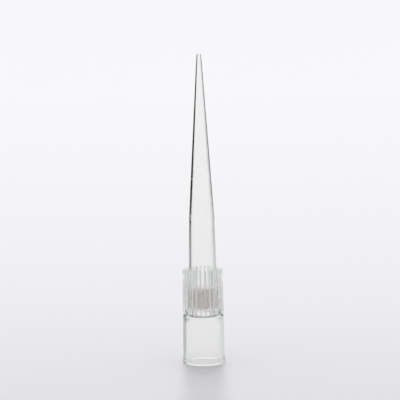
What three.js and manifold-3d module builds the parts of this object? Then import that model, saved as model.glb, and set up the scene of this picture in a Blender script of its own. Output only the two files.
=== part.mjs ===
// Filter pipette tip of the 200 microlitre class, standing on its mouth with the point up.
// Units are millimetres. The origin is the centre of the mouth rim and +Z runs to the point.

import * as THREE from 'three';
import { mergeVertices } from 'three/addons/utils/BufferGeometryUtils.js';
import Module from 'manifold-3d';

// Lengths along the axis, from the mouth up
const beadHeight = 1.1;
const collarLength = 8.4;
const ribLength = 7.7;
const lowerBarrelLength = 8.7;
const upperBarrelLength = 27.6;

// Outer radii
const beadRadius = 3.67;
const collarMouthRadius = 3.5;
const collarTopRadius = 3.42;
const ribRootRadius = 2.66;
const ribTopBarrelRadius = 2.325;
const markRadius = 2.12;
const pointRadius = 0.38;

// Walls
const collarWall = 0.45;
const shoulderThickness = 0.3;
const ribRootWall = 0.5;
const ribTopWall = 0.38;
const markWall = 0.32;
const pointWall = 0.16;

// Mouth: a flared bead outside and a lead-in inside
const beadLand = 0.4;
const beadRounding = 0.18;
const leadInWidth = 0.14;
const leadInDepth = 0.3;

// Shoulder: the collar's rounded edge, then a slope up to the barrel, outside and inside.
// The land is the least width that the rounding leaves to the slope.
const collarRounding = 0.38;
const shoulderLand = 0.1;
const shoulderRise = 0.1;

// Grip ribs
const ribCount = 20;
const ribProud = 0.06;
const ribTopCrestRadius = 3.38;
const ribCrestThickness = 0.2;
const ribRootThickness = 0.24;
const ribTopSlope = 0.05;
const ribFootRise = 0.14;
const ribEmbed = 0.12;

// Graduation marks: a low ring where the barrel's taper steepens, and a finer ring above it
const lowRingBelow = 0.4;
const lowRingAbove = 0.6;
const lowRingProud = 0.035;
const highRingAboveMark = 6.6;
const highRingReach = 0.1;
const highRingProud = 0.015;

// Filter plug, pressed up the bore
const filterInset = 1.2;
const filterLength = 3.6;
const filterClearance = 0.02;
const filterChamfer = 0.12;

// Facets around the axis, a whole number for each rib, and round each quarter turn of an edge
const facetsPerRib = 4;
const facetsAround = ribCount * facetsPerRib;
const arcDivisions = 3;

// Corners closer than this are one corner when a shape is made solid
const cornerTolerance = 0.0001;

// The collar's edge: its rounding, and the radius at which it meets the shoulder's slope
const edgeRounding = Math.min(collarRounding, collarTopRadius - ribRootRadius - shoulderLand);
const shoulderEdgeRadius = collarTopRadius - edgeRounding;

// Stations along the axis
const ribTopZ = collarLength + ribLength;
const markZ = ribTopZ + lowerBarrelLength;
const highRingZ = markZ + highRingAboveMark;
const pointZ = markZ + upperBarrelLength;
const collarEdgeZ = collarLength - edgeRounding;
const shoulderTopZ = collarLength + shoulderRise;
const collarBoreTopZ = collarLength - shoulderThickness;
const ceilingTopZ = shoulderTopZ - shoulderThickness;

const pp = new THREE.MeshStandardMaterial({
  color: 0xeef1f3,
  roughness: 0.08,
  metalness: 0,
  transparent: true,
  opacity: 0.35,
});

const porous = new THREE.MeshStandardMaterial({ color: 0xdedbd6, roughness: 0.9, metalness: 0 });

const wasm = await Module();
wasm.setup();

// Straight-line value between two stations
function taper(z, zLow, valueLow, zHigh, valueHigh) {
  return valueLow + ((valueHigh - valueLow) * (z - zLow)) / (zHigh - zLow);
}

// Outer radius of the barrel: under the ribs, below the low ring and above it
function barrelRadius(z) {
  if (z <= ribTopZ) return taper(z, shoulderTopZ, ribRootRadius, ribTopZ, ribTopBarrelRadius);
  if (z <= markZ) return taper(z, ribTopZ, ribTopBarrelRadius, markZ, markRadius);
  return taper(z, markZ, markRadius, pointZ, pointRadius);
}

// Bore radius of the barrel: the wall thins from the shoulder to the point
function boreRadius(z) {
  const rootBore = ribRootRadius - ribRootWall;
  const ribTopBore = ribTopBarrelRadius - ribTopWall;
  const markBore = markRadius - markWall;
  if (z <= ribTopZ) return taper(z, shoulderTopZ, rootBore, ribTopZ, ribTopBore);
  if (z <= markZ) return taper(z, ribTopZ, ribTopBore, markZ, markBore);
  return taper(z, markZ, markBore, pointZ, pointRadius - pointWall);
}

// A closed outline turned round the Z axis. Points are (radius, z), anticlockwise.
function turned(outline) {
  const geometry = new THREE.LatheGeometry(outline.getPoints(arcDivisions), facetsAround);
  return geometry.rotateX(Math.PI / 2);
}

// Position-only solid for the boolean joins
function toSolid(geometry) {
  const bare = geometry.clone();
  bare.deleteAttribute('normal');
  bare.deleteAttribute('uv');
  const merged = mergeVertices(bare, cornerTolerance);
  const mesh = new wasm.Mesh({
    numProp: 3,
    vertProperties: new Float32Array(merged.attributes.position.array),
    triVerts: new Uint32Array(merged.index.array),
  });
  return new wasm.Manifold(mesh);
}

function toGeometry(solid) {
  const mesh = solid.getMesh();
  const geometry = new THREE.BufferGeometry();
  geometry.setAttribute('position', new THREE.BufferAttribute(mesh.vertProperties, 3));
  geometry.setIndex(new THREE.BufferAttribute(mesh.triVerts, 1));
  geometry.computeVertexNormals();
  return geometry;
}

// A low ring on the barrel, sloping up to its crest and back down
function addRing(outline, crestZ, below, above, proud) {
  outline.lineTo(barrelRadius(crestZ - below), crestZ - below);
  outline.lineTo(barrelRadius(crestZ) + proud, crestZ);
  outline.lineTo(barrelRadius(crestZ + above), crestZ + above);
}

// Section of the plain moulding: bead, collar, shoulder, barrel, marks, point and bore
function bodyOutline() {
  const collarBoreMouth = collarMouthRadius - collarWall;
  const collarBoreTop = collarTopRadius - collarWall;
  const outline = new THREE.Path();
  outline.moveTo(collarBoreMouth + leadInWidth, 0);
  outline.lineTo(beadRadius - beadRounding, 0);
  outline.absarc(beadRadius - beadRounding, beadRounding, beadRounding, -Math.PI / 2, 0);
  outline.lineTo(beadRadius, beadLand);
  outline.lineTo(collarMouthRadius, beadHeight);
  outline.lineTo(collarTopRadius, collarEdgeZ);
  outline.absarc(shoulderEdgeRadius, collarEdgeZ, edgeRounding, 0, Math.PI / 2);
  outline.lineTo(ribRootRadius, shoulderTopZ);
  outline.lineTo(ribTopBarrelRadius, ribTopZ);
  addRing(outline, markZ, lowRingBelow, lowRingAbove, lowRingProud);
  addRing(outline, highRingZ, highRingReach, highRingReach, highRingProud);
  outline.lineTo(pointRadius, pointZ);
  outline.lineTo(boreRadius(pointZ), pointZ);
  outline.lineTo(boreRadius(markZ), markZ);
  outline.lineTo(boreRadius(ribTopZ), ribTopZ);
  outline.lineTo(boreRadius(ceilingTopZ), ceilingTopZ);
  outline.lineTo(collarBoreTop, collarBoreTopZ);
  outline.lineTo(collarBoreMouth, leadInDepth);
  outline.closePath();
  return outline;
}

// One grip rib: a square-topped fin on the barrel, a little proud of the collar, thinner at its crest.
// Its foot slopes in to the shoulder. It runs a short way into the barrel wall and the shoulder,
// so that they join.
function ribGeometry() {
  const footCrestRadius = collarTopRadius + ribProud;
  const side = new THREE.Shape();
  side.moveTo(ribRootRadius - ribEmbed, collarLength - ribEmbed);
  side.lineTo(shoulderEdgeRadius, collarLength - ribEmbed);
  side.lineTo(footCrestRadius, collarLength + ribFootRise);
  side.lineTo(ribTopCrestRadius, ribTopZ - ribTopSlope);
  side.lineTo(ribTopBarrelRadius - ribEmbed, ribTopZ);
  const fin = new THREE.ExtrudeGeometry(side, { depth: 1, bevelEnabled: false });
  fin.translate(0, 0, -0.5);
  fin.rotateX(Math.PI / 2);
  const position = fin.attributes.position;
  for (let i = 0; i < position.count; i += 1) {
    const radius = position.getX(i);
    const thickness = taper(
      radius,
      ribTopBarrelRadius,
      ribRootThickness,
      footCrestRadius,
      ribCrestThickness,
    );
    position.setY(i, position.getY(i) * thickness);
  }
  return fin;
}

function tipBodyGeometry() {
  let solid = toSolid(turned(bodyOutline()));
  const rib = ribGeometry();
  for (let i = 0; i < ribCount; i += 1) {
    const angle = ((i + 0.5) / ribCount) * 2 * Math.PI;
    solid = solid.add(toSolid(rib.clone().rotateZ(angle)));
  }
  return toGeometry(solid);
}

// Porous plug that fills the bore above the shoulder
function filterGeometry() {
  const lowZ = ceilingTopZ + filterInset;
  const highZ = lowZ + filterLength;
  const lowRadius = boreRadius(lowZ) - filterClearance;
  const highRadius = boreRadius(highZ) - filterClearance;
  const outline = new THREE.Path();
  outline.moveTo(0, lowZ);
  outline.lineTo(lowRadius - filterChamfer, lowZ);
  outline.lineTo(lowRadius, lowZ + filterChamfer);
  outline.lineTo(highRadius, highZ - filterChamfer);
  outline.lineTo(highRadius - filterChamfer, highZ);
  outline.lineTo(0, highZ);
  return turned(outline);
}

const tip = new THREE.Group();

const tipBody = new THREE.Mesh(tipBodyGeometry(), pp);
tipBody.name = 'tip_body';
tip.add(tipBody);

const filterPlug = new THREE.Mesh(filterGeometry(), porous);
filterPlug.name = 'filter_plug';
tip.add(filterPlug);

export default tip;
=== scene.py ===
import math

import bpy
import numpy as np
from mathutils import Matrix, Vector, noise


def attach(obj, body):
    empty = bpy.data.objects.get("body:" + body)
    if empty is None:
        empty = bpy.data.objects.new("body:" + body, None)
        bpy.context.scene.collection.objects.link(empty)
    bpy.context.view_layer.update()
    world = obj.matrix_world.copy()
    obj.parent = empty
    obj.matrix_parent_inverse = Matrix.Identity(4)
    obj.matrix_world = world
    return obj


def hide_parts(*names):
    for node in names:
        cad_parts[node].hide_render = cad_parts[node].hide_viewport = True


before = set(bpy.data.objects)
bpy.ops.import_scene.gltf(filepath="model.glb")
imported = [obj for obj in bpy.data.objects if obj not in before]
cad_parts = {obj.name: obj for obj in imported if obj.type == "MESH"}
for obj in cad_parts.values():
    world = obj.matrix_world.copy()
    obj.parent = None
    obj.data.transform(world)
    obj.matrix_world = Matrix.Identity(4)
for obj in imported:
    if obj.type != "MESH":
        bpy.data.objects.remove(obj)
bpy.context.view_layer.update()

MM = 0.001

# ---------------------------------------------------------------- sizes, in millimetres
# Heights above the rim that the tip stands on
BEAD_LAND = 0.4
BEAD_HEIGHT = 1.1
COLLAR_LENGTH = 8.4
RIB_TOP_Z = 16.1
MARK_Z = 24.8
HIGH_RING_Z = 31.4
POINT_Z = 52.4

# Outer radii
BEAD_RADIUS = 3.67
COLLAR_MOUTH_RADIUS = 3.5
COLLAR_TOP_RADIUS = 3.42
RIB_ROOT_RADIUS = 2.66
RIB_TOP_BARREL_RADIUS = 2.325
MARK_RADIUS = 2.12
POINT_RADIUS = 0.38

# Walls
COLLAR_WALL = 0.45
SHOULDER_THICKNESS = 0.3
SHOULDER_RISE = 0.1
RIB_ROOT_WALL = 0.5
RIB_TOP_WALL = 0.38
MARK_WALL = 0.32
POINT_WALL = 0.16

# Mouth, bead and collar. The bead's bends are where its land meets the slope to the collar
# and where that slope meets the collar.
BEAD_ROUNDING = 0.18
BEAD_BEND_ROUNDING = 0.2
LEAD_IN_WIDTH = 0.14
LEAD_IN_DEPTH = 0.3
LEAD_IN_ROUNDING = 0.8
COLLAR_ROUNDING = 0.38
CEILING_ROUNDING = 0.08
BARREL_BORE_ROUNDING = 0.06

# Grip ribs
RIB_COUNT = 20
RIB_CREST_LOW = 3.48
RIB_CREST_HIGH = 3.38
RIB_CREST_THICKNESS = 0.2
RIB_ROOT_THICKNESS = 0.24
RIB_CREST_ROUNDING = 0.05
RIB_ROOT_ROUNDING = 0.04
RIB_TOP_ROUNDING = 0.05
RIB_TOP_SLOPE = 0.05
RIB_FOOT_RISE = 0.14
RIB_FOOT_SLOPE = 0.1

# Graduation rings, and how their sides curve: above 1 they are hollow
LOW_RING_BELOW = 0.4
LOW_RING_ABOVE = 0.6
LOW_RING_PROUD = 0.035
HIGH_RING_REACH = 0.1
HIGH_RING_PROUD = 0.015
RING_HOLLOW = 1.2

# Open point
POINT_OUTER_ROUNDING = 0.06
POINT_INNER_ROUNDING = 0.04
POINT_RIM = 0.15

# Filter plug: how far it keeps from the bore, the width and height of its sintered beads,
# how steeply they rise, and how far light soaks in
FILTER_LOW_Z = 9.4
FILTER_LENGTH = 3.6
FILTER_ROUNDING = 0.12
FILTER_CLEARANCE = 0.02
GRAIN = 0.16
GRAIN_HEIGHT = 0.02
GRAIN_STEEPNESS = 1.6
LIGHT_SOAK = 1.1

SHOULDER_TOP_Z = COLLAR_LENGTH + SHOULDER_RISE
COLLAR_BORE_TOP_Z = COLLAR_LENGTH - SHOULDER_THICKNESS
CEILING_TOP_Z = SHOULDER_TOP_Z - SHOULDER_THICKNESS
PITCH = 2 * math.pi / RIB_COUNT

# Mesh: points round half a rib, and how far from a bend, a mark or an end the next ring
# lies. The collar's inside has its two at a share of its height.
HALF_RIB_POINTS = 14
BEND_HOLD = 0.05
MARK_HOLD = 0.08
RIB_TOP_HOLD = 0.06
RIB_FOOT_HOLD = 0.15
BARREL_START = 0.1
CONE_END = 0.1
BORE_START = 0.3
BORE_END = 0.5
CEILING_HOLD = 0.3
COLLAR_HOLD_SHARE = 0.2

# Mesh: edges sharper than these stay sharp, in degrees
BODY_SHARP = 38
PLUG_SHARP = 60

# Mesh of the plug: points around, spacing along its outline, and radius of the flat face
# that closes each end in the middle
PLUG_POINTS = 300
PLUG_SPACING = 0.07
PLUG_MIDDLE = 0.03


# ---------------------------------------------------------------- helpers
def mix(a, b, t):
    return a + (b - a) * t


def taper(z, z_low, low, z_high, high):
    """Straight-line value between two heights."""
    return low + (high - low) * (z - z_low) / (z_high - z_low)


def barrel_radius(z):
    """Outer radius of the barrel."""
    if z <= RIB_TOP_Z:
        return taper(z, SHOULDER_TOP_Z, RIB_ROOT_RADIUS, RIB_TOP_Z, RIB_TOP_BARREL_RADIUS)
    if z <= MARK_Z:
        return taper(z, RIB_TOP_Z, RIB_TOP_BARREL_RADIUS, MARK_Z, MARK_RADIUS)
    return taper(z, MARK_Z, MARK_RADIUS, POINT_Z, POINT_RADIUS)


def bore_radius(z):
    """Radius of the barrel's bore."""
    root = RIB_ROOT_RADIUS - RIB_ROOT_WALL
    top = RIB_TOP_BARREL_RADIUS - RIB_TOP_WALL
    mark = MARK_RADIUS - MARK_WALL
    if z <= RIB_TOP_Z:
        return taper(z, SHOULDER_TOP_Z, root, RIB_TOP_Z, top)
    if z <= MARK_Z:
        return taper(z, RIB_TOP_Z, top, MARK_Z, mark)
    return taper(z, MARK_Z, mark, POINT_Z, POINT_RADIUS - POINT_WALL)


def crest_radius(z):
    """Outer radius of the ribs."""
    return taper(z, COLLAR_LENGTH, RIB_CREST_LOW, RIB_TOP_Z, RIB_CREST_HIGH)


# An arc takes at most this share of the edges beside it, and a corner closer than this to
# a straight line, in radians, stays as it is
ARC_SHARE = 0.48
STRAIGHT = 0.001


def rounded(corners, steps=5):
    """A profile of (radius, z, rounding) corners, each inner corner rounded with an arc."""
    points = [np.array(corners[0][:2], float)]
    for before, here, after in zip(corners, corners[1:], corners[2:]):
        a, b, c = (np.array(corner[:2], float) for corner in (before, here, after))
        to_a, to_c = a - b, c - b
        length_a, length_c = np.linalg.norm(to_a), np.linalg.norm(to_c)
        to_a, to_c = to_a / length_a, to_c / length_c
        angle = math.acos(float(np.clip(to_a @ to_c, -1, 1)))
        if here[2] <= 0 or math.pi - angle < STRAIGHT:
            points.append(b)
            continue
        half_tangent = math.tan(angle / 2)
        reach = min(here[2] / half_tangent, ARC_SHARE * length_a, ARC_SHARE * length_c)
        radius = reach * half_tangent
        middle = to_a + to_c
        centre = b + middle / np.linalg.norm(middle) * radius / math.sin(angle / 2)
        start, end = b + to_a * reach - centre, b + to_c * reach - centre
        first = math.atan2(start[1], start[0])
        turn = (math.atan2(end[1], end[0]) - first + math.pi) % (2 * math.pi) - math.pi
        for i in range(steps + 1):
            at = first + turn * i / steps
            points.append(centre + radius * np.array([math.cos(at), math.sin(at)]))
    points.append(np.array(corners[-1][:2], float))
    return points


# ---------------------------------------------------------------- rings of the clear body
# Plain rings have their points evenly spaced round each rib's pitch
EVEN = np.tile(np.linspace(-0.5, 0.5, 2 * HALF_RIB_POINTS, endpoint=False), RIB_COUNT)
RIB_OF_POINT = np.repeat(np.arange(RIB_COUNT), 2 * HALF_RIB_POINTS)
EVEN_ANGLES = (RIB_OF_POINT + 0.5 + EVEN) * PITCH

# Where a rib's crest has a point beside its middle, as a share of its flat part, and the
# angles of the points on a rounding, in degrees
CREST_POINT = 0.55
ROUNDING_ANGLES = (0, 30, 60, 90)


def rib_section(root, crest):
    """Angles and radii of one ring that follows the ribs and the barrel between them."""
    half_crest, half_root = RIB_CREST_THICKNESS / 2, RIB_ROOT_THICKNESS / 2
    flat = half_crest - RIB_CREST_ROUNDING
    top = math.sqrt(crest**2 - half_crest**2)
    foot = math.sqrt(root**2 - half_root**2)
    beside = CREST_POINT * flat
    line = [(crest, 0.0), (math.sqrt(crest**2 - beside**2), beside)]
    quarter = [math.radians(a) for a in ROUNDING_ANGLES]
    for a in quarter:
        x = top - RIB_CREST_ROUNDING * (1 - math.cos(a))
        line.append((x, flat + RIB_CREST_ROUNDING * math.sin(a)))
    line.append((mix(top, foot, 0.5), mix(half_crest, half_root, 0.5)))
    for a in quarter:
        x = foot + RIB_ROOT_ROUNDING * (1 - math.sin(a))
        line.append((x, half_root + RIB_ROOT_ROUNDING * (1 - math.cos(a))))
    polar = [(math.atan2(y, x), math.hypot(x, y)) for x, y in line]
    left = HALF_RIB_POINTS + 1 - len(polar)
    last = polar[-1][0]
    polar += [(mix(last, PITCH / 2, (i + 1) / left), root) for i in range(left)]
    angle, radius = np.array(polar).T
    angle = np.concatenate([-angle[:0:-1], angle[:-1]])
    radius = np.concatenate([radius[:0:-1], radius[:-1]])
    return (RIB_OF_POINT + 0.5) * PITCH + np.tile(angle, RIB_COUNT), np.tile(radius, RIB_COUNT)


RIB_ANGLES = rib_section(RIB_ROOT_RADIUS, RIB_CREST_LOW)[0]


class Rings:
    """A surface built of rings round the axis, each with the same number of points."""

    def __init__(self):
        self.rows = []

    def add(self, angle, radius, z):
        radius, z = np.broadcast_to(radius, angle.shape), np.broadcast_to(z, angle.shape)
        self.rows.append(np.stack([radius * np.cos(angle), radius * np.sin(angle), z], 1))

    def profile(self, points, angle=EVEN_ANGLES):
        for radius, z in points:
            self.add(angle, radius, z)

    def faces(self, closed):
        """Quads from each ring to the next, and from the last to the first if closed."""
        count = self.rows[0].shape[0]
        here = np.arange(count)
        beside = (here + 1) % count
        out = []
        for i in range(len(self.rows) - (0 if closed else 1)):
            low, high = i * count, (i + 1) % len(self.rows) * count
            out.append(np.stack([low + here, low + beside, high + beside, high + here], 1))
        return np.concatenate(out)


def mesh_object(name, vertices, faces, sharp_degrees):
    mesh = bpy.data.meshes.new(name)
    mesh.from_pydata((np.asarray(vertices) * MM).tolist(), [], faces)
    mesh.validate()
    mesh.update()
    mesh.polygons.foreach_set("use_smooth", [True] * len(mesh.polygons))
    mesh.set_sharp_from_angle(angle=math.radians(sharp_degrees))
    piece = bpy.data.objects.new(name, mesh)
    bpy.context.scene.collection.objects.link(piece)
    return piece


def cone_stations(low, high, count):
    """Points on the barrel's outside between two heights, ends left out."""
    return [(barrel_radius(z), z) for z in np.linspace(low, high, count + 2)[1:-1]]


def add_collar(rings, mouth_bore, edge_radius, edge_z):
    """Rim, flared bead and collar, up to the collar's rounded edge."""
    outer = rounded(
        [
            (mouth_bore + LEAD_IN_WIDTH, 0, 0),
            (BEAD_RADIUS, 0, BEAD_ROUNDING),
            (BEAD_RADIUS, BEAD_LAND, BEAD_BEND_ROUNDING),
            (COLLAR_MOUTH_RADIUS, BEAD_HEIGHT, BEAD_BEND_ROUNDING),
            (COLLAR_TOP_RADIUS, edge_z, 0),
        ]
    )[:-1]
    rings.profile(outer)
    bead_end = outer[-1][1]
    for z in [bead_end + BEND_HOLD, *np.linspace(bead_end, edge_z, 6)[1:-1]]:
        radius = taper(z, BEAD_HEIGHT, COLLAR_MOUTH_RADIUS, edge_z, COLLAR_TOP_RADIUS)
        rings.add(EVEN_ANGLES, radius, z)
    for a in (math.radians(a) for a in range(0, 91, 15)):
        radius = edge_radius + COLLAR_ROUNDING * math.cos(a)
        rings.add(RIB_ANGLES, radius, edge_z + COLLAR_ROUNDING * math.sin(a))


def add_shoulder(rings, edge_radius):
    """The ribs' feet on the shoulder, which slopes up between them to the barrel."""
    section = rib_section(RIB_ROOT_RADIUS, RIB_CREST_LOW)[1]
    on_rib = section > edge_radius
    for share in np.linspace(0, 1, 9)[1:]:
        front = mix(edge_radius, RIB_ROOT_RADIUS, share)
        grown = min(2 * share, 1)
        radius = np.where(on_rib, mix(edge_radius, section, grown), np.maximum(section, front))
        foot = RIB_FOOT_RISE * (grown + RIB_FOOT_SLOPE * share)
        rise = np.where(on_rib, foot, SHOULDER_RISE * share)
        rings.add(RIB_ANGLES, radius, COLLAR_LENGTH + rise)


def add_ribs(rings):
    """The ribs' straight part, their rounded tops, and the slope in to the barrel."""
    low = COLLAR_LENGTH + max(SHOULDER_RISE, RIB_FOOT_RISE) + RIB_FOOT_HOLD
    top_z = RIB_TOP_Z - RIB_TOP_SLOPE
    high = top_z - RIB_TOP_ROUNDING
    for z in np.linspace(low, high, 7):
        rings.add(RIB_ANGLES, rib_section(barrel_radius(z), crest_radius(z))[1], z)
    base = barrel_radius(top_z)
    section = rib_section(base, crest_radius(top_z))[1]
    span = crest_radius(top_z) - base
    for a in (math.radians(a) for a in ROUNDING_ANGLES[1:]):
        share = (span - RIB_TOP_ROUNDING * (1 - math.cos(a))) / span
        z = high + RIB_TOP_ROUNDING * math.sin(a)
        rings.add(RIB_ANGLES, base + (section - base) * share, z)
    for share in (0.65, 0.35, 0.12, 0.0):
        z = top_z + RIB_TOP_SLOPE * (1 - share)
        proud = (section - base) * share * (span - RIB_TOP_ROUNDING) / span
        rings.add(RIB_ANGLES, barrel_radius(z) + proud, z)
    z = RIB_TOP_Z + RIB_TOP_HOLD
    rings.add(RIB_ANGLES, barrel_radius(z), z)


def add_cone(rings):
    """Barrel and cone up to the point, with the two graduation rings."""

    def ring_mark(middle, below, above, proud):
        for a in np.linspace(-1, 1, 13):
            z = middle + a * (above if a > 0 else below)
            rings.add(EVEN_ANGLES, barrel_radius(z) + proud * (1 - abs(a)) ** RING_HOLLOW, z)

    low_ring = MARK_Z - LOW_RING_BELOW, MARK_Z + LOW_RING_ABOVE
    high_ring = HIGH_RING_Z - HIGH_RING_REACH, HIGH_RING_Z + HIGH_RING_REACH
    rings.profile(cone_stations(RIB_TOP_Z + BARREL_START, low_ring[0] - MARK_HOLD, 5))
    rings.profile(cone_stations(low_ring[0] - MARK_HOLD, low_ring[0], 1))
    ring_mark(MARK_Z, LOW_RING_BELOW, LOW_RING_ABOVE, LOW_RING_PROUD)
    rings.profile(cone_stations(low_ring[1], low_ring[1] + MARK_HOLD, 1))
    rings.profile(cone_stations(low_ring[1] + MARK_HOLD, high_ring[0] - MARK_HOLD, 4))
    rings.profile(cone_stations(high_ring[0] - MARK_HOLD, high_ring[0], 1))
    ring_mark(HIGH_RING_Z, HIGH_RING_REACH, HIGH_RING_REACH, HIGH_RING_PROUD)
    rings.profile(cone_stations(high_ring[1], high_ring[1] + MARK_HOLD, 1))
    rings.profile(cone_stations(high_ring[1] + MARK_HOLD, POINT_Z - CONE_END, 8))
    below = POINT_Z - POINT_RIM
    rings.profile(
        rounded(
            [
                (barrel_radius(below), below, 0),
                (POINT_RADIUS, POINT_Z, POINT_OUTER_ROUNDING),
                (POINT_RADIUS - POINT_WALL, POINT_Z, POINT_INNER_ROUNDING),
                (bore_radius(below), below, 0),
            ],
            steps=4,
        )
    )


def add_inside(rings, mouth_bore, top_bore):
    """The barrel's bore, the ceiling of the collar and the collar's inside."""
    bends = [
        POINT_Z - BORE_START,
        MARK_Z + BEND_HOLD,
        MARK_Z - BEND_HOLD,
        RIB_TOP_Z + BEND_HOLD,
        RIB_TOP_Z - BEND_HOLD,
        CEILING_TOP_Z + BORE_END,
    ]
    for high, low, count in zip(bends, bends[1:], (7, 1, 4, 1, 4)):
        for z in np.linspace(high, low, count, endpoint=False):
            rings.add(EVEN_ANGLES, bore_radius(z), z)

    def on_wall(share):
        """A point of the collar's inside, from its ceiling (0) to the lead-in (1)."""
        z = mix(COLLAR_BORE_TOP_Z, LEAD_IN_DEPTH, share)
        return mix(top_bore, mouth_bore, share), z, 0

    rings.profile(
        rounded(
            [
                (bore_radius(CEILING_TOP_Z + CEILING_HOLD), CEILING_TOP_Z + CEILING_HOLD, 0),
                (bore_radius(CEILING_TOP_Z), CEILING_TOP_Z, BARREL_BORE_ROUNDING),
                (top_bore, COLLAR_BORE_TOP_Z, CEILING_ROUNDING),
                on_wall(COLLAR_HOLD_SHARE),
                on_wall(1 - COLLAR_HOLD_SHARE),
                (mouth_bore, LEAD_IN_DEPTH, LEAD_IN_ROUNDING),
                (mouth_bore + LEAD_IN_WIDTH, 0, 0),
            ]
        )[:-1]
    )


def tip_body():
    """The clear moulding, one closed surface: up its outside and down its inside."""
    mouth_bore = COLLAR_MOUTH_RADIUS - COLLAR_WALL
    top_bore = COLLAR_TOP_RADIUS - COLLAR_WALL
    edge_z = COLLAR_LENGTH - COLLAR_ROUNDING
    edge_radius = COLLAR_TOP_RADIUS - COLLAR_ROUNDING
    rings = Rings()
    add_collar(rings, mouth_bore, edge_radius, edge_z)
    add_shoulder(rings, edge_radius)
    add_ribs(rings)
    add_cone(rings)
    add_inside(rings, mouth_bore, top_bore)
    faces = rings.faces(True).tolist()
    return mesh_object("tip_body_clear", np.concatenate(rings.rows), faces, BODY_SHARP)


def grain_height(point):
    """Height of the sintered beads at a point, from 0 between beads to 1 on top of one."""
    distance = noise.voronoi(Vector(point) / GRAIN)[0][0]
    return max(0.0, 1 - GRAIN_STEEPNESS * distance)


def filter_plug():
    """The porous plug, with its sintered beads standing out of its flat faces."""
    around = PLUG_POINTS
    angle = np.linspace(0, 2 * math.pi, around, endpoint=False)
    low, high = FILTER_LOW_Z, FILTER_LOW_Z + FILTER_LENGTH
    low_radius = bore_radius(low) - FILTER_CLEARANCE
    high_radius = bore_radius(high) - FILTER_CLEARANCE
    outline = rounded(
        [
            (PLUG_MIDDLE, low, 0),
            (low_radius, low, FILTER_ROUNDING),
            (high_radius, high, FILTER_ROUNDING),
            (PLUG_MIDDLE, high, 0),
        ],
        steps=4,
    )
    line = [np.array(outline[0])]
    for a, b in zip(outline, outline[1:]):
        pieces = max(1, round(np.linalg.norm(b - a) / PLUG_SPACING))
        line += [mix(a, b, (i + 1) / pieces) for i in range(pieces)]
    rings = Rings()
    rings.profile(line, angle)
    vertices = np.concatenate(rings.rows)
    low_rows = [z < low + FILTER_ROUNDING and radius < low_radius for radius, z in line]
    high_rows = [z > high - FILTER_ROUNDING and radius < high_radius for radius, z in line]
    flat_low, flat_high = np.repeat(low_rows, around), np.repeat(high_rows, around)
    for i in np.nonzero(flat_low | flat_high)[0]:
        depth = GRAIN_HEIGHT * (1 - grain_height(vertices[i]))
        vertices[i, 2] += depth if flat_low[i] else -depth
    faces = rings.faces(False).tolist()
    last = len(vertices) - around
    faces += [list(range(around))[::-1], [last + i for i in range(around)]]
    return mesh_object("filter_plug_porous", vertices, faces, PLUG_SHARP)


# ---------------------------------------------------------------- node helpers
# Sockets of the Mix node when it mixes colours
MIX_FACTOR, MIX_A, MIX_B, MIX_RESULT = 0, 6, 7, 2


def new_material(name):
    material = bpy.data.materials.new(name)
    material.use_nodes = True
    tree = material.node_tree
    return material, tree, tree.nodes["Principled BSDF"]


def feed(tree, socket, value):
    """Link an output to a socket, or set the socket to a value."""
    if isinstance(value, bpy.types.NodeSocket):
        tree.links.new(value, socket)
    else:
        socket.default_value = value


def math_node(tree, operation, *values):
    node = tree.nodes.new("ShaderNodeMath")
    node.operation = operation
    for socket, value in zip(node.inputs, values):
        feed(tree, socket, value)
    return node.outputs["Value"]


def mix_colour(tree, factor, a, b, blend="MIX"):
    both = tree.nodes.new("ShaderNodeMix")
    both.data_type, both.blend_type = "RGBA", blend
    for at, value in ((MIX_FACTOR, factor), (MIX_A, a), (MIX_B, b)):
        feed(tree, both.inputs[at], value)
    return both.outputs[MIX_RESULT]


def mix_shader(tree, factor, first, second):
    either = tree.nodes.new("ShaderNodeMixShader")
    for socket, value in zip(either.inputs, (factor, first, second)):
        feed(tree, socket, value)
    return either.outputs["Shader"]


def map_range(tree, value, low, high):
    """A value's share of the way from low to high, from 0 to 1."""
    share = tree.nodes.new("ShaderNodeMapRange")
    share.inputs["From Min"].default_value = low
    share.inputs["From Max"].default_value = high
    tree.links.new(value, share.inputs["Value"])
    return share.outputs["Result"]


def grey(level):
    return level, level, level, 1


def two_colours(tree, factor, first, last):
    ramp = tree.nodes.new("ShaderNodeValToRGB")
    ramp.color_ramp.elements[0].color = first
    ramp.color_ramp.elements[1].color = last
    tree.links.new(factor, ramp.inputs["Fac"])
    return ramp.outputs["Color"]


# ---------------------------------------------------------------- materials
CLEAR_COLOUR = (0.996, 0.993, 0.990, 1)
CLEAR_IOR = 1.49
HAZE_SCALE = 400
HAZE_DETAIL = 3
HAZE_ROUGHNESS = 0.03

# Share of the lamps' light that a surface of the walls lets pass: as a rule, where it is
# dim, and where light meets it at a glancing angle. A ray from the floor to a lamp goes
# through a near wall and then a far one. The far one is dim: its two surfaces are met after
# two and three others. The power says how late the glancing loss sets in.
PASSING = 0.98
PASSING_DIM = 0.37
PASSING_GLANCING = 0.62
GLANCING_POWER = 2
DIM_AFTER, DIM_UNTIL = 1.5, 3.5

PLUG_PALE = (0.83, 0.798, 0.762, 1)
PLUG_DARK = (0.735, 0.69, 0.65, 1)
PLUG_ROUGHNESS = 0.85
PLUG_SPECULAR = 0.3
PLUG_BUMP = 0.4


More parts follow.
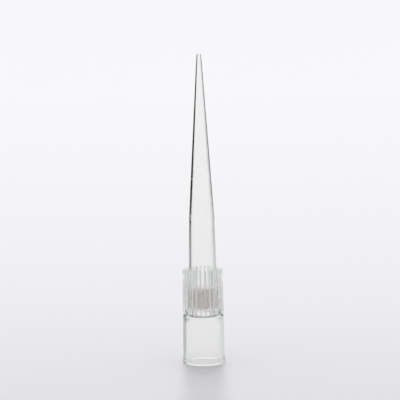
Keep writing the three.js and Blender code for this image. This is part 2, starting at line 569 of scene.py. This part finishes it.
def clear_plastic():
    """Clear moulded polypropylene: glossy, with a faint haze that varies along the part."""
    material, tree, shader = new_material("clear_polypropylene")
    shader.inputs["Base Color"].default_value = CLEAR_COLOUR
    shader.inputs["IOR"].default_value = CLEAR_IOR
    shader.inputs["Transmission Weight"].default_value = 1
    place = tree.nodes.new("ShaderNodeTexCoord")
    haze = tree.nodes.new("ShaderNodeTexNoise")
    haze.inputs["Scale"].default_value = HAZE_SCALE
    haze.inputs["Detail"].default_value = HAZE_DETAIL
    tree.links.new(place.outputs["Object"], haze.inputs["Vector"])
    rough = tree.nodes.new("ShaderNodeMapRange")
    rough.inputs["To Min"].default_value = 0.0
    rough.inputs["To Max"].default_value = HAZE_ROUGHNESS
    tree.links.new(haze.outputs["Fac"], rough.inputs["Value"])
    tree.links.new(rough.outputs["Result"], shader.inputs["Roughness"])

    # Light that falls on other surfaces passes straight through the thin walls. Lamp light
    # is dimmed where it goes through a second wall, which leaves the soft shadow.
    path = tree.nodes.new("ShaderNodeLightPath")
    depth, shadow = path.outputs["Transparent Depth"], path.outputs["Is Shadow Ray"]
    after = math_node(tree, "GREATER_THAN", depth, DIM_AFTER)
    until = math_node(tree, "LESS_THAN", depth, DIM_UNTIL)
    between = math_node(tree, "MULTIPLY", after, until)
    dimmed = math_node(tree, "MULTIPLY", between, shadow)
    straight = two_colours(tree, dimmed, grey(PASSING), grey(PASSING_DIM))

    # less light passes where it meets a wall at a glancing angle
    weight = tree.nodes.new("ShaderNodeLayerWeight")
    weight.inputs["Blend"].default_value = 0.5
    glancing = math_node(tree, "POWER", weight.outputs["Facing"], GLANCING_POWER)
    passing = mix_colour(tree, glancing, straight, grey(PASSING_GLANCING))
    through = tree.nodes.new("ShaderNodeBsdfTransparent")
    tree.links.new(passing, through.inputs["Color"])
    falling = math_node(tree, "MAXIMUM", shadow, path.outputs["Is Diffuse Ray"])
    surface = mix_shader(tree, falling, shader.outputs["BSDF"], through.outputs["BSDF"])
    tree.links.new(surface, tree.nodes["Material Output"].inputs["Surface"])
    return material


def porous_plastic():
    """White sintered polyethylene: matte, granular, a little warm. Light soaks into it."""
    material, tree, shader = new_material("porous_polyethylene")
    place = tree.nodes.new("ShaderNodeTexCoord")
    grains = tree.nodes.new("ShaderNodeTexVoronoi")
    grains.inputs["Scale"].default_value = 1 / (GRAIN * MM)
    tree.links.new(place.outputs["Object"], grains.inputs["Vector"])
    colour = two_colours(tree, grains.outputs["Distance"], PLUG_PALE, PLUG_DARK)
    tree.links.new(colour, shader.inputs["Base Color"])
    shader.inputs["Roughness"].default_value = PLUG_ROUGHNESS
    shader.inputs["Subsurface Weight"].default_value = 1
    shader.inputs["Subsurface Radius"].default_value = (1, 1, 1)
    shader.inputs["Subsurface Scale"].default_value = LIGHT_SOAK * MM
    shader.inputs["Specular IOR Level"].default_value = PLUG_SPECULAR
    bump = tree.nodes.new("ShaderNodeBump")
    bump.invert = True
    bump.inputs["Strength"].default_value = PLUG_BUMP
    bump.inputs["Distance"].default_value = GRAIN_HEIGHT * MM
    tree.links.new(grains.outputs["Distance"], bump.inputs["Height"])
    tree.links.new(bump.outputs["Normal"], shader.inputs["Normal"])
    return material


# ---------------------------------------------------------------- studio, in metres
# Painted reflection: greys by azimuth in degrees from straight behind, positive to the right,
# that the floor and the world glow with instead of being lit. They are seen only where the
# clear walls turn light aside, and stand for dark surroundings: the floor in four rings, from
# close by to further out, and the room above it
CLOSE_RING = [(-180, 0.7), (-62, 0.7), (-56, 0.5), (-2, 0.5), (3, 0.72), (14, 0.68), (180, 0.7)]
RIB_RING = [
    (-180, 0.62), (-62, 0.62), (-56, 0.24), (-33, 0.24), (-29, 0.66), (-10, 0.66),
    (-7, 0.2), (-1, 0.2), (3, 0.74), (14, 0.6), (180, 0.66),
]
NEAR_RING = [
    (-180, 0.6), (-62, 0.6), (-56, 0.26), (-14, 0.26), (-1, 0.36),
    (3, 0.6), (14, 0.55), (180, 0.6),
]
FAR_RING = [
    (-180, 0.55), (-75, 0.6), (-64, 0.6), (-60, 0.005), (2, 0.005), (4, 0.07),
    (24, 0.07), (29, 0.62), (50, 0.6), (56, 0.66), (180, 0.58),
]
SKY_RING = [(-180, 0.6), (-62, 0.6), (-56, 0.4), (-2, 0.4), (3, 0.7), (14, 0.6), (180, 0.6)]

# Distances over which each of the three outer rings takes over from the one inside it
FLOOR_RINGS = [((0.05, 0.06), RIB_RING), ((0.115, 0.15), NEAR_RING), ((0.18, 0.205), FAR_RING)]

# Light that the walls only bend sees the painted rings on a patch of the floor at either side,
# by azimuth and by distance, and the plain floor everywhere else
SIDE_AZIMUTHS = [(-38, 0), (-32, 1), (-16, 1), (-7, 0), (7, 0), (16, 1), (32, 1), (38, 0)]
SIDE_DISTANCES = [(0.042, 0), (0.048, 1), (0.08, 1), (0.087, 0)]
SIDE_SPAN = (0, 0.2)

# The floor: half its width, how far it lies below the rim, its painted light from front to back
# (darker near the front, palest behind the tip, darker again far back where the lamps light it
# more), its tint, and its gloss
FLOOR_HALF = 2.5
FLOOR_Z = -0.00002
FLOOR_PAINTED_LIGHT = [
    (-0.05, 0.77), (0.0, 0.82), (0.065, 0.87), (0.13, 0.895), (0.21, 0.91),
    (0.32, 0.915), (0.5, 0.91), (0.75, 0.875), (1.1, 0.82),
]
FLOOR_SPAN = (-0.1, 1.2)
FLOOR_TINT = (1.014, 0.986, 0.997, 1)
FLOOR_ROUGHNESS = 0.8
FLOOR_SPECULAR = 0.1

# The studio's greys are a little cold
COLD_RED, COLD_BLUE = 0.97, 1.01

WORLD_LEVEL = 0.655
BACKDROP_LEVEL = 0.93

# Ray depths are whole numbers, so this tells none from one
ANY_DEPTH = 0.5
ALL_ROUND = (-180, 180)

# Lamps: name, place, width, height and watts. Both aim at the same point.
LAMPS = [
    ("lamp_low", (0, 5.6, 1.6), 0.6, 0.7, 225),
    ("lamp_high", (0, 2.8, 6.1), 1.6, 1.4, 78),
]
LAMP_AIM = (0, 0, 0.02)

# Camera: distance from the origin, angles in degrees, what it aims at, and its focal length
# in pixels of the picture
CAMERA_DISTANCE = 0.45
CAMERA_ELEVATION = 11
CAMERA_ROLL = -1.02
CAMERA_AIM = (-0.00022, 0, 0.0278)
CAMERA_FOCAL = 2645
PICTURE_WIDTH = 400
SENSOR_WIDTH = 36
CLIP_START, CLIP_END = 0.01, 100

# Light turns many times inside the clear ribs before it leaves them
BOUNCES = 32


def grey_ramp(tree, value, span, stops):
    """A ramp of greys over a value's own units: stops are (value, grey)."""
    low, high = span
    ramp = tree.nodes.new("ShaderNodeValToRGB")
    elements = ramp.color_ramp.elements
    elements.remove(elements[1])
    for i, (at, level) in enumerate(stops):
        position = (at - low) / (high - low)
        if i == 0:
            elements[0].position = position
        stop = elements[0] if i == 0 else elements.new(position)
        stop.color = (level * COLD_RED, level, level * COLD_BLUE, 1)
    tree.links.new(map_range(tree, value, low, high), ramp.inputs["Fac"])
    return ramp.outputs["Color"]


def azimuth_node(tree, vector):
    """Degrees from straight behind, positive to the right."""
    split = tree.nodes.new("ShaderNodeSeparateXYZ")
    tree.links.new(vector, split.inputs["Vector"])
    radians = math_node(tree, "ARCTAN2", split.outputs["X"], split.outputs["Y"])
    return math_node(tree, "MULTIPLY", radians, 180 / math.pi)


def studio_floor():
    """The pale floor, with painted light from front to back, which glows with painted rings of
    greys for the walls' mirrored and bent light.
    """
    mesh = bpy.data.meshes.new("studio_floor")
    signs = ((-1, -1), (1, -1), (1, 1), (-1, 1))
    corners = [(FLOOR_HALF * x, FLOOR_HALF * y, FLOOR_Z) for x, y in signs]
    mesh.from_pydata(corners, [], [(0, 1, 2, 3)])
    floor = bpy.data.objects.new("studio_floor", mesh)
    bpy.context.scene.collection.objects.link(floor)
    material, tree, shader = new_material("pale_floor")
    shader.inputs["Roughness"].default_value = FLOOR_ROUGHNESS
    shader.inputs["Specular IOR Level"].default_value = FLOOR_SPECULAR
    place = tree.nodes.new("ShaderNodeTexCoord").outputs["Object"]
    split = tree.nodes.new("ShaderNodeSeparateXYZ")
    tree.links.new(place, split.inputs["Vector"])
    # painted light: the floor's grey changes from front to back in place of the light's falloff
    ground = grey_ramp(tree, split.outputs["Y"], FLOOR_SPAN, FLOOR_PAINTED_LIGHT)
    tinted = mix_colour(tree, 1, ground, FLOOR_TINT, "MULTIPLY")
    tree.links.new(tinted, shader.inputs["Base Color"])

    # painted reflection: rings of greys by azimuth and distance that the floor glows with,
    # instead of its lit colour, for light that the clear walls mirror or bend aside
    azimuth = azimuth_node(tree, place)
    length = tree.nodes.new("ShaderNodeVectorMath")
    length.operation = "LENGTH"
    tree.links.new(place, length.inputs[0])
    distance = length.outputs["Value"]
    colour = grey_ramp(tree, azimuth, ALL_ROUND, CLOSE_RING)
    for (start, end), ring in FLOOR_RINGS:
        share = map_range(tree, distance, start, end)
        colour = mix_colour(tree, share, colour, grey_ramp(tree, azimuth, ALL_ROUND, ring))
    painted_reflection_glow = tree.nodes.new("ShaderNodeEmission")
    tree.links.new(colour, painted_reflection_glow.inputs["Color"])

    path = tree.nodes.new("ShaderNodeLightPath")
    mirrored = math_node(tree, "GREATER_THAN", path.outputs["Glossy Depth"], ANY_DEPTH)
    bent = math_node(tree, "GREATER_THAN", path.outputs["Transmission Depth"], ANY_DEPTH)
    aside = grey_ramp(tree, azimuth, ALL_ROUND, SIDE_AZIMUTHS)
    beside = grey_ramp(tree, distance, SIDE_SPAN, SIDE_DISTANCES)
    patch = math_node(tree, "MULTIPLY", aside, beside)
    bent_aside = math_node(tree, "MULTIPLY", bent, patch)
    turned = math_node(tree, "MAXIMUM", mirrored, bent_aside)
    surface = mix_shader(tree, turned, shader.outputs["BSDF"], painted_reflection_glow.outputs["Emission"])
    tree.links.new(surface, tree.nodes["Material Output"].inputs["Surface"])
    mesh.materials.append(material)


def studio_world():
    """Plain soft light, a pale backdrop, and a painted reflection: a ring of greys, standing
    for the room, that only mirrored light sees.
    """
    world = bpy.data.worlds.new("studio")
    bpy.context.scene.world = world
    world.use_nodes = True
    tree = world.node_tree
    plain = tree.nodes["Background"]
    plain.inputs["Color"].default_value = grey(WORLD_LEVEL)
    place = tree.nodes.new("ShaderNodeTexCoord").outputs["Generated"]
    # painted reflection: a ring of greys by azimuth, seen only by mirrored light
    painted_ring_reflection = tree.nodes.new("ShaderNodeBackground")
    ring = grey_ramp(tree, azimuth_node(tree, place), ALL_ROUND, SKY_RING)
    tree.links.new(ring, painted_ring_reflection.inputs["Color"])
    backdrop = tree.nodes.new("ShaderNodeBackground")
    backdrop.inputs["Color"].default_value = grey(BACKDROP_LEVEL)
    path = tree.nodes.new("ShaderNodeLightPath").outputs
    mirrored = math_node(tree, "GREATER_THAN", path["Glossy Depth"], ANY_DEPTH)
    seen = math_node(tree, "MAXIMUM", path["Is Camera Ray"], path["Is Transmission Ray"])
    first = mix_shader(tree, seen, plain.outputs["Background"], backdrop.outputs["Background"])
    surface = mix_shader(tree, mirrored, first, painted_ring_reflection.outputs["Background"])
    tree.links.new(surface, tree.nodes["World Output"].inputs["Surface"])


def studio_lamp(name, place, width, height, watts):
    light = bpy.data.lights.new(name, "AREA")
    light.shape = "RECTANGLE"
    light.size = width
    light.size_y = height
    light.energy = watts
    lamp = bpy.data.objects.new(name, light)
    lamp.location = place
    lamp.rotation_mode = "QUATERNION"
    lamp.rotation_quaternion = (Vector(LAMP_AIM) - Vector(place)).to_track_quat("-Z", "Y")
    lamp.visible_glossy = False
    lamp.visible_transmission = False
    bpy.context.scene.collection.objects.link(lamp)


def camera():
    elevation, roll = math.radians(CAMERA_ELEVATION), math.radians(CAMERA_ROLL)
    back, above = CAMERA_DISTANCE * math.cos(elevation), CAMERA_DISTANCE * math.sin(elevation)
    place = Vector((0, -back, above))
    forward = (Vector(CAMERA_AIM) - place).normalized()
    right = forward.cross(Vector((0, 0, 1))).normalized()
    up = right.cross(forward)
    across = right * math.cos(roll) + up * math.sin(roll)
    upright = up * math.cos(roll) - right * math.sin(roll)
    data = bpy.data.cameras.new("camera")
    data.sensor_width = SENSOR_WIDTH
    data.lens = SENSOR_WIDTH * CAMERA_FOCAL / PICTURE_WIDTH
    data.clip_start = CLIP_START
    data.clip_end = CLIP_END
    shot = bpy.data.objects.new("camera", data)
    bpy.context.scene.collection.objects.link(shot)
    matrix = Matrix((across, upright, -forward)).transposed().to_4x4()
    matrix.translation = place
    shot.matrix_world = matrix
    bpy.context.scene.camera = shot


# ---------------------------------------------------------------- the scene
body = tip_body()
body.data.materials.append(clear_plastic())
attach(body, "root")
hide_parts("tip_body")

plug = filter_plug()
plug.data.materials.append(porous_plastic())
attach(plug, "root")
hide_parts("filter_plug")

camera()
studio_floor()
studio_world()
for lamp_values in LAMPS:
    studio_lamp(*lamp_values)

scene = bpy.context.scene
scene.view_settings.view_transform = "Standard"
scene.cycles.max_bounces = BOUNCES
scene.cycles.glossy_bounces = BOUNCES
scene.cycles.transmission_bounces = BOUNCES
